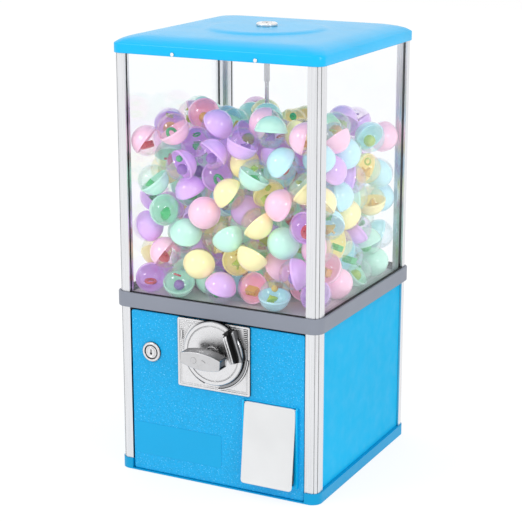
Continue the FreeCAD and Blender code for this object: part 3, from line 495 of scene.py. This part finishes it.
def make_lid():
    """A moulded lid: upright skirt, soft crease, convex slope and a raised round middle."""
    skirt = [(157.3, 12.0, 607.3), (157.9, 12.5, 607.0), (158.9, 13.4, 607.0), (159.5, 14.0, 607.7)]
    skirt += [(159.5, 14.0, 613.0), (159.5, 14.0, 619.4), (159.1, 14.2, 620.6)]
    slope = [(157.3, 15.2, 622.2), (152.5, 17.0, 625.4), (145.0, 20.5, 628.2), (135.0, 26.0, 630.3)]
    top = [(122.0, 36.0, 631.2), (106.0, 62.0, 631.5), (94.0, 84.0, 631.6)]
    disc = [(88.0, 85.0, 631.9), (84.5, 83.5, 632.7), (80.5, 80.0, 633.9), (76.0, 75.6, 634.6)]
    crown = [(70.0, 69.8, 634.85), (40.0, 39.9, 634.95), (15.0, 14.95, 634.98), (9.2, 9.15, 634.98)]
    outer = skirt + [tuple(p) for p in smooth_steps(slope + top + disc + crown, 4)]
    inner = [(9.2, 9.15, 632.6), (76.0, 75.7, 632.2), (86.0, 85.0, 629.6), (128.0, 32.0, 628.2)]
    inner += [(142.0, 22.0, 625.6), (151.0, 17.0, 622.3), (156.8, 11.4, 618.2)]
    inner += [(157.2, 11.3, 610.0)]
    rings = []
    for half, radius, z in outer + inner:
        radius = min(radius, half - 0.05)
        rings.append([(u, v, z) for u, v in corner_ring(half, half, radius, 14)])
    form = Form().loft(rings, loop=True)
    blue = MATERIALS["blue_plastic"]
    lid = piece("lid_shell", form.vertices, form.faces, blue, "lid_cover", 50)
    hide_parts("lid")


# Coin mechanism.


def spaced_rings(rings, spacing):
    """The same rings with points added along their straight runs, in step from ring to ring."""
    ends = zip(rings[0], rings[0][1:] + rings[0][:1])
    counts = [max(1, round(math.dist(p, q) / spacing)) for p, q in ends]
    spaced = []
    for ring in rings:
        points = []
        for p, q, count in zip(ring, ring[1:] + ring[:1], counts):
            for j in range(count):
                points.append(tuple(u + (v - u) * j / count for u, v in zip(p, q)))
        spaced.append(points)
    return spaced


def ridge(form, radius, width, y0, y1, start, end, steps=48):
    """A raised line on the plate, part of a circle about the drum, from start to end degrees."""
    rings = []
    for i in range(steps + 1):
        angle = math.radians(start + (end - start) * i / steps)
        ring = []
        flank = y0 + 0.25
        for across, y in ((-1, y1), (-0.7, flank), (-0.3, y0), (0.3, y0), (0.7, flank), (1, y1)):
            r = radius + across * width / 2
            ring.append((r * math.cos(angle), y, DRUM_Z + r * math.sin(angle)))
        rings.append(ring)
    form.loft(rings)


def make_faceplate():
    """A die-cast plate with a border and fine ribs, a hollow drum, raised lines about it, and a
    step beside the drum in darker chrome as painted shade.
    """
    form = Form()
    border = [(0, PLATE_BACK), (0, PLATE_FACE), (0.5, PLATE_FRONT), (3.2, PLATE_FRONT)]
    border += [(3.7, PLATE_FACE), (4.9, PLATE_FACE), (5.2, -159.0), (6.0, -159.0)]
    border += [(6.3, PLATE_FACE)]
    rings = spaced_rings(front_rings(PLATE_X0, PLATE_X1, PLATE_Z0, PLATE_Z1, 3.0, border), 6.0)
    aims = [math.atan2(z - DRUM_Z, x) for x, _, z in rings[0]]
    hole = [(PLATE_HOLE_R * math.cos(a), DRUM_Z + PLATE_HOLE_R * math.sin(a)) for a in aims]
    for y in (PLATE_FACE, PLATE_BACK):
        rings.append([(x, y, z) for x, z in hole])
    form.loft(rings, loop=True)
    drum = [(DRUM_HOLLOW_R, -157), (DRUM_R, -157), (DRUM_R, -163.6), (DRUM_R - 0.5, -165.0)]
    drum += [(DRUM_R - 1.6, DRUM_FRONT), (40.6, DRUM_FRONT), (40.0, -165.3), (39.3, -165.3)]
    drum += [(38.8, -165.8), (30, -165.9), (14, -166.2), (11.8, -166.4), (11.2, -167.6)]
    drum += [(10.2, -168.0), (5.1, -168.0), (5.1, DRUM_HOLLOW_Y), (DRUM_HOLLOW_R, DRUM_HOLLOW_Y)]
    form.turned(drum, (0, 0, DRUM_Z), 96, loop=True)
    ridge(form, 52.6, 2.2, -161.8, RIDGE_FOOT, -84, -4)
    ridge(form, 50.5, 1.4, -160.2, RIDGE_FOOT, 196, 250)
    z = 197.0
    while z < PLATE_Z1 - 4:
        reach = math.sqrt(max(0.0, 50.6**2 - (z - DRUM_Z) ** 2))
        if PLATE_X0 + 6.6 < -reach:
            form.block(PLATE_X0 + 3.4, -reach, -159.1, RIDGE_FOOT, z, z + 1.9, 0.3)
        right = max(reach, 45.2)
        if z > 202 and right < PLATE_X1 - 4:
            form.block(right, PLATE_X1 - 3.2, -160.6, RIDGE_FOOT, z, z + 1.6, 0.4)
        z += 2.75
    plaque = [(0, -158.4), (0, -160.0), (0.3, -160.3), (0.9, -160.3), (1.2, -159.9)]
    form.loft(front_rings(-55.0, -50.8, 213, 226, 1.0, plaque))
    plate = piece("coin_plate", form.vertices, form.faces, MATERIALS["chrome"], "door")
    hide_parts("coin_faceplate")
    # A ring step about the drum's right side in the darker shaded chrome: painted shade.
    step = Form()
    ridge(step, 49.0, 5.4, -161.2, RIDGE_FOOT, -80, 14)
    piece("drum_step", step.vertices, step.faces, MATERIALS["shaded_chrome"], "door")


def seat(x, z, matrix):
    """How far back a guide wall reaches: the drum's skin or, past its edge, the plate."""
    spot = matrix @ Vector((x, 0, z))
    return DRUM_SKIN_Y if math.hypot(spot.x, spot.z - DRUM_Z) < DRUM_R - 1.5 else GUIDE_FOOT


def rail(form, x0, x1, rise, top, matrix):
    """A round-topped rail up the coin guide; its ends run out onto the drum."""
    low, high = 194.5, top - 5
    steps = round(high - low)
    middle = [(low + (high - low) * i / steps, 1.0) for i in range(steps + 1)]
    rings = []
    for z, share in [(191.5, 0.02), (192.6, 0.7), *middle, (top - 1, 0.85), (top + 1, 0.3)]:
        crest = DRUM_FRONT - rise * share
        ring = [(x0, seat(x0, z, matrix), z), (x0, crest + 0.8 * share, z)]
        for part, drop in ((0.25, 0.15), (0.5, 0), (0.75, 0.15)):
            ring.append((x0 + part * (x1 - x0), crest + drop, z))
        ring += [(x1, crest + 0.8 * share, z), (x1, seat(x1, z, matrix), z)]
        rings.append(ring)
    form.loft(rings, matrix)


def make_coin_guide():
    """A double ridge, a lower wall in darker chrome as painted shade, and black pieces as painted
    shadow in the coin slot between them and in the slot's mouth.
    """
    tilt = about_y(GUIDE_X, GUIDE_Z, -GUIDE_LEAN)
    form = Form()
    rail(form, GUIDE_X - 8.8, GUIDE_X - 5.8, 9.2, 232.0, tilt)
    rail(form, GUIDE_X - 5.1, GUIDE_X - 1.8, 10.0, 233.5, tilt)
    form.block(GUIDE_X - 6.1, GUIDE_X - 4.8, -173.0, DRUM_SKIN_Y, 192.6, 231.0, 0.2, tilt)
    chrome = MATERIALS["chrome"]
    guide = piece("coin_guide", form.vertices, form.faces, chrome, "door", 40)
    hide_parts("coin_slot_guide")
    # Painted shadow: black pieces along the ridge's inner wall, on the slot's floor and in the
    # slot's mouth.
    dark = Form().block(GUIDE_X - 1.9, GUIDE_X - 1.5, -173.6, DRUM_SKIN_Y, 193.4, 231.0, 0.1, tilt)
    rail(dark, GUIDE_X - 1.6, GUIDE_X + 4.0, 0.6, 237.0, tilt)
    outline = [(GUIDE_X + x, z) for x, z in ((-9.4, 235.6), (1.6, 240.2), (-1.6, 230.4))]
    dark.loft([[(x, y, z) for x, z in outline] for y in (-165.0, -171.0)], tilt)
    # The lower wall is in the darker shaded chrome: painted shade.
    wall = Form()
    rail(wall, GUIDE_X + 3.8, GUIDE_X + 8.0, 4.2, 236.0, tilt)
    piece("guide_wall", wall.vertices, wall.faces, MATERIALS["shaded_chrome"], "door", 40)
    shadow = moulded("slot_shadow", srgb(18, 18, 20), 0.6, edge=0.2)
    piece("coin_slot", dark.vertices, dark.faces, shadow, "door")


def make_handle():
    """A crowned bar on a round hub, with two raised marks on its face."""
    form = Form()
    turn = about_y(0, SHAFT_Z, HANDLE_TILT)
    rings = []
    spans = [(-1, 1.2), (-0.985, 0.4), (-0.95, 0)] + [(i / 10, 0) for i in range(-9, 10)]
    spans += [(0.95, 0), (0.985, 0.4), (1, 1.0), (1, 1.8), (0.955, 2.3)]
    for share, shrink in spans:
        tall = HANDLE_END + (HANDLE_TALL - HANDLE_END) * (1 - share * share) - 2 * shrink
        y0, y1 = HANDLE_FRONT + 0.6 + shrink, HANDLE_BACK - shrink
        outline = corner_ring((y1 - y0) / 2, tall / 2, 1.0, 3)
        x = share * HANDLE_HALF
        rings.append([(x, (y0 + y1) / 2 + u, SHAFT_Z + v) for u, v in outline])
    form.loft(rings, matrix=turn)
    hub = [(0.01, -183), (10.2, -183), (9.4, -179.5), (8.2, -177), (8.0, -169.0)]
    hub += [(8.6, -168.3), (5.2, -168.3), (0.01, -171)]
    form.turned(hub, (0, 0, SHAFT_Z), 48, matrix=turn)
    arrow = ((4.0, -3.4), (9.5, 0.4), (3.2, 3.6), (4.8, 0.3))
    ends = (HANDLE_FRONT + 1, HANDLE_FRONT)
    form.loft([[(x, y, SHAFT_Z + z) for x, z in arrow] for y in ends], matrix=turn)
    dot = [(0.01, 1.0), (4.6, 1.0), (4.6, 0.4), (4.2, 0.0), (3.2, 0.0), (2.8, 0.3), (0.01, 0.3)]
    form.turned(dot, (-9.5, HANDLE_FRONT, SHAFT_Z), 24, matrix=turn)
    chrome = MATERIALS["cast_chrome"]
    handle = piece("turn_handle", form.vertices, form.faces, chrome, "handle_group", 38)
    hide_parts("handle")


# Door lock.


def make_lock():
    """A cam lock's bezel: a bevelled rim, a groove, an inner ring, and on the plug a thin black
    keyhole sheet, painted shade for the keyhole's opening.
    """
    rim = [(6.6, -145.5), (9.4, -145.5), (9.4, -156.1), (14.5, -156.1), (14.5, -158.0)]
    rim += [(13.9, -158.9), (12.8, LOCK_FRONT), (11.0, LOCK_FRONT), (10.3, -158.6)]
    rim += [(9.9, -157.2), (9.1, -157.2), (8.8, -158.9), (7.2, LOCK_FRONT), (6.6, -159.1)]
    form = Form().turned(rim, (LOCK_X, 0, LOCK_Z), 64, loop=True)
    bezel = piece("lock_rim", form.vertices, form.faces, MATERIALS["chrome"], "door")
    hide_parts("lock_bezel")
    # Painted shade: a thin black sheet in the black rubber material stands in for the dark keyhole
    # opening.
    deep = LOCK_FRONT + 0.4
    hole = Form().block(-0.8, 0.8, LOCK_FRONT, deep, -3.9, 3.9, 0.05)
    round_end = [(0.01, deep), (1.7, deep), (1.7, LOCK_FRONT), (0.01, LOCK_FRONT)]
    hole.turned(round_end, (0, 0, -2.2), 20)
    vertices = [(LOCK_X + x, y, LOCK_Z + z) for x, y, z in hole.vertices]
    piece("keyhole", vertices, hole.faces, MATERIALS["black_rubber"], "door_lock")


# Outlet flap.


def make_flap():
    """A thin moulded flap with a rolled rim, hanging a little proud at its foot."""
    form = Form()
    front, bottom = -160.2, FLAP_TOP - FLAP_LONG
    rim = [(1.2, front + 2.6), (0.2, front + 2.3), (0, front + 1.3), (0.3, front + 0.45)]
    rim += [(1.0, front), (2.2, front), (3.0, front + 0.3), (3.4, front + 0.5)]
    form.loft(front_rings(FLAP_X0, FLAP_X1, bottom, FLAP_TOP, 5.0, rim))
    for x0, x1 in ((FLAP_X0 + 5, FLAP_X0 + 30), (FLAP_X1 - 30, FLAP_X1 - 5)):
        rings = []
        for x in (x0, x1):
            ring = []
            for i in range(16):
                angle = 2 * math.pi * i / 16
                y, z = 1.75 * math.cos(angle), 1.7 * math.sin(angle)
                ring.append((x, FLAP_AXIS_Y + y, FLAP_AXIS_Z + z))
            rings.append(ring)
        form.loft(rings)
    place = Matrix.Translation((0, FLAP_AXIS_Y, FLAP_AXIS_Z))
    tip = place @ Matrix.Rotation(math.radians(-FLAP_TILT), 4, "X") @ place.inverted()
    vertices = [tuple(tip @ Vector(v)) for v in form.vertices]
    white = MATERIALS["white_plastic"]
    flap = piece("flap_door", vertices, form.faces, white, "flap", 50)
    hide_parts("outlet_flap")


# Capsules.


def clear_of_cabinet(x, y):
    """Whether a capsule standing here would clear the rod and the corner posts."""
    reach = CAPSULE_R + PILE_GAP
    if math.hypot(x, y) < reach + ROD_R:
        return False
    ax, ay = abs(x), abs(y)
    near_a = math.hypot(max(0.0, POST_LEG - ax), max(0.0, POST_INNER - ay))
    near_b = math.hypot(max(0.0, POST_INNER - ax), max(0.0, POST_LEG - ay))
    return min(near_a, near_b) > reach


def heap():
    """Capsule centres, each dropped at about the lowest free place, those by the walls first."""
    pick = random.Random(HEAP_SEED)
    limit = PANE_IN - CAPSULE_R - PILE_GAP
    count = int(2 * limit / PILE_STEP) + 1
    spots = [-limit + 2 * limit * i / (count - 1) for i in range(count)]
    floor = PILE_FLOOR + CAPSULE_R
    level = {(x, y): floor for x in spots for y in spots if clear_of_cabinet(x, y)}
    apart = 2 * CAPSULE_R + PILE_GAP
    placed = []
    while True:
        free = {spot: z for spot, z in level.items() if z < PILE_MIDDLE - PILE_SLOPE * spot[1]}
        if not free:
            return placed
        lowest = min(free.values())
        near = {}
        for (x, y), z in free.items():
            if z < lowest + PILE_LOOSE:
                near[x, y] = max(abs(x), abs(y)) + pick.uniform(0, PILE_STRAY)
        x0, y0 = max(near, key=near.get)
        z0 = level[x0, y0]
        placed.append((x0, y0, z0))
        for (x, y), z in level.items():
            flat = apart * apart - (x - x0) ** 2 - (y - y0) ** 2
            if flat > 0:
                level[x, y] = max(z, z0 + math.sqrt(flat))


def lean(pick):
    """A random tip of a capsule: a turn about an axis in the XY plane."""
    heading = pick.uniform(0, 2 * math.pi)
    angle = math.acos(pick.uniform(-1, 1))
    return Matrix.Rotation(angle, 4, Vector((math.cos(heading), math.sin(heading), 0)))


def half_profile(sign, steps=7):
    """A hollow half ball with a raised collar at the seam, turned about Z; sign -1 is the cup."""
    outer, inner, collar = (22.15, 20.7, 3.4) if sign < 0 else (22.05, 20.9, 2.2)
    start = math.asin(collar / outer)
    profile = []
    for i in range(steps + 1):
        angle = math.pi / 2 - (math.pi / 2 - start) * i / steps
        profile.append((outer * math.cos(angle), sign * outer * math.sin(angle)))
    profile += [(22.35, sign * (collar - 0.35)), (22.45, sign * (collar - 0.8))]
    profile += [(22.45, sign * 0.12), (inner, sign * 0.12)]
    for i in range(1, steps + 1):
        angle = math.pi / 2 * i / steps
        profile.append((inner * math.cos(angle), sign * inner * math.sin(angle)))
    profile[0] = (0.05, profile[0][1])
    profile[-1] = (0.05, profile[-1][1])
    return profile


def half_form(sign):
    """One half of a capsule, as vertices and faces."""
    form = Form().turned(half_profile(sign), (0, 0, 0), 30, "Z")
    return np.array(form.vertices), form.faces


def toy_forms():
    """Small generic toys: a ring, a spinning top, a ball and a building brick."""
    ring, top, ball, brick = Form(), Form(), Form(), Form()
    rows = []
    for i in range(20):
        angle = 2 * math.pi * i / 20
        row = []
        for j in range(8):
            turn = 2 * math.pi * j / 8
            reach = 8.2 + 2.6 * math.cos(turn)
            row.append((reach * math.cos(angle), reach * math.sin(angle), 2.6 * math.sin(turn)))
        rows.append(row)
    ring.loft(rows, loop=True)
    spin = [(0.05, -9), (1.5, -7), (9.5, 0), (10, 1.2), (8.5, 2.4), (2.2, 3.5)]
    spin += [(1.6, 8), (2.2, 9), (0.05, 9.6)]
    top.turned(spin, (0, 0, 0), 20, "Z")
    down = [math.pi * i / 10 for i in range(11)]
    ball.turned([(0.05 + 9 * math.sin(a), -9 * math.cos(a)) for a in down], (0, 0, 0), 20, "Z")
    brick.block(-9, 9, -5, 5, -6, 5, 1.2)
    for x in (-5.5, 0, 5.5):
        brick.turned([(0.05, 4.5), (2.0, 4.5), (2.0, 6.6), (1.6, 7), (0.05, 7)], (x, 0, 0), 12, "Z")
    return [(np.array(f.vertices), f.faces) for f in (ring, top, ball, brick)]


def gather(groups, key, vertices, faces, matrix):
    """Adds a moved copy of a form to a group's vertex and face lists."""
    group = groups.setdefault(key, [[], [], 0])
    turn = np.array(matrix.to_3x3())
    group[0].append(vertices @ turn.T + np.array(matrix.translation))
    start = group[2]
    group[1] += [tuple(start + i for i in face) for face in faces]
    group[2] += len(vertices)


def release(groups, prefix, body, materials):
    """Makes one piece of each group."""
    made = {}
    for key, (vertices, faces, _) in groups.items():
        name, vertices = f"{prefix}_{key}", np.concatenate(vertices)
        made[key] = piece(name, vertices, faces, materials[key], body, 40)
    return made


def make_capsules():
    """The heap in the hopper with its toys, and the capsules that ride in the wheel's pockets."""
    cup, cover, toys = half_form(-1), half_form(1), toy_forms()
    pick, toy_pick = random.Random(HEAP_SEED + 1), random.Random(TOY_SEED)
    cups, covers, inside = {}, {}, {}
    for centre in heap():
        place = Matrix.Translation(centre) @ lean(pick)
        colour = pick.choices(COLOURS, COLOUR_SHARES)[0]
        gather(cups, colour, *cup, place)
        gather(covers, colour, *cover, place)
        add_toys(inside, toys, toy_pick, centre)
    plastics = {colour: MATERIALS[f"capsule_{colour}"] for colour in COLOURS}
    made = release(cups, "cups", "cabinet", plastics)
    for colour, obj in made.items():
        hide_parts(f"capsule_cups_{colour}")
    made = release(covers, "covers", "cabinet", COVERS)
    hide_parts("capsule_covers")
    release(inside, "toys", "cabinet", TOYS)
    ride_along, ride_covers = {}, {}
    for i in range(1, POCKETS):
        angle = math.radians(DROP_ANGLE + 360.0 * i / POCKETS)
        height = DISC_TOP + 0.4 + CAPSULE_R
        centre = (POCKET_AT * math.cos(angle), POCKET_AT * math.sin(angle), height)
        place = Matrix.Translation(centre) @ lean(pick)
        colour = "mint" if i % 2 else "rose"
        gather(ride_along, colour, *cup, place)
        gather(ride_covers, colour, *cover, place)
    wheel = release(ride_along, "wheel_cups", "wheel", plastics)
    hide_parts("wheel_capsules")
    release(ride_covers, "wheel_covers", "wheel", COVERS)


def add_toys(groups, toys, pick, centre):
    """One or two toys lie at the bottom of a capsule, tipped any way."""
    for number in range(pick.choice((1, 1, 2))):
        form = pick.choice(toys)
        size = pick.uniform(0.85, 1.0) if number == 0 else 0.55
        away = Vector((pick.uniform(-3, 3), pick.uniform(-3, 3), -6.0 if number == 0 else 10.0))
        spin = Matrix.Rotation(pick.uniform(0, 6.28), 4, "Z")
        tip = Matrix.Rotation(pick.uniform(0, 3.1), 4, "X")
        place = Matrix.Translation(Vector(centre) + away) @ spin @ tip @ Matrix.Scale(size, 4)
        gather(groups, pick.choice(sorted(TOYS)), *form, place)


# CAD nodes that keep their own shape.


def dress_cad_nodes():
    """Gives each carried-over node the material of its slot, or its own."""
    slots = {part["node"]: part["material_slot"] for part in frame["record"]["subparts"]}
    for name, obj in frame["nodes"].items():
        material = MATERIALS.get(OWN_MATERIAL.get(name, slots[name]))
        if material is None:
            continue
        for slot in obj.material_slots:
            slot.link = "OBJECT"
            slot.material = material


# Studio.


def make_stage():
    """A white world, a white floor that keeps a faint shadow, and soft lights."""
    side = 6.0
    corners = [(-side, -side, 0), (side, -side, 0), (side, side, 0), (-side, side, 0)]
    mesh = bpy.data.meshes.new("studio_floor")
    mesh.from_pydata(corners, [], [(0, 1, 2, 3)])
    floor = bpy.data.objects.new("studio_floor", mesh)
    floor.location.z = -0.0005
    bpy.context.scene.collection.objects.link(floor)
    white = Paint("studio_floor", (0.25, 0.25, 0.25, 1), 0.9, specular=0.0)
    white.shader.inputs["Emission Color"].default_value = (1, 1, 1, 1)
    white.shader.inputs["Emission Strength"].default_value = 0.78
    mesh.materials.append(white.material)

    world = bpy.data.worlds.new("studio")
    world.use_nodes = True
    world.node_tree.nodes["Background"].inputs["Color"].default_value = (1, 1, 1, 1)
    world.node_tree.nodes["Background"].inputs["Strength"].default_value = 1.0
    bpy.context.scene.world = world

    for name, place, size, power in (
        ("key", (-1.4, -2.3, 1.9), 0.7, 13),
        ("side", (2.3, -1.2, 1.3), 0.5, 9),
        ("sparkle", (0.9, -1.9, 1.9), 0.18, 4),
    ):
        light = bpy.data.lights.new(name, "AREA")
        light.size, light.energy = size, power
        lamp = bpy.data.objects.new(name, light)
        lamp.location = place
        aim = Vector((0, 0, 0.3)) - lamp.location
        lamp.rotation_euler = aim.to_track_quat("-Z", "Y").to_euler()
        bpy.context.scene.collection.objects.link(lamp)


def make_camera():
    """A long lens at the photograph's viewing angle."""
    azimuth, elevation = math.radians(AZIMUTH), math.radians(ELEVATION)
    flat = math.cos(elevation)
    back = Vector((math.sin(azimuth) * flat, -math.cos(azimuth) * flat, math.sin(elevation)))
    data = bpy.data.cameras.new("camera")
    data.lens, data.sensor_width = LENS, 36.0
    camera = bpy.data.objects.new("camera", data)
    camera.location = AIM + back * DISTANCE
    camera.rotation_euler = (-back).to_track_quat("-Z", "Y").to_euler()
    bpy.context.scene.collection.objects.link(camera)
    bpy.context.scene.camera = camera


make_camera()
make_stage()
dress_cad_nodes()
make_lid()
make_faceplate()
make_coin_guide()
make_handle()
make_lock()
make_flap()
make_capsules()
bpy.context.scene.view_settings.view_transform = "Standard"
bpy.context.scene.cycles.transparent_max_bounces = 24
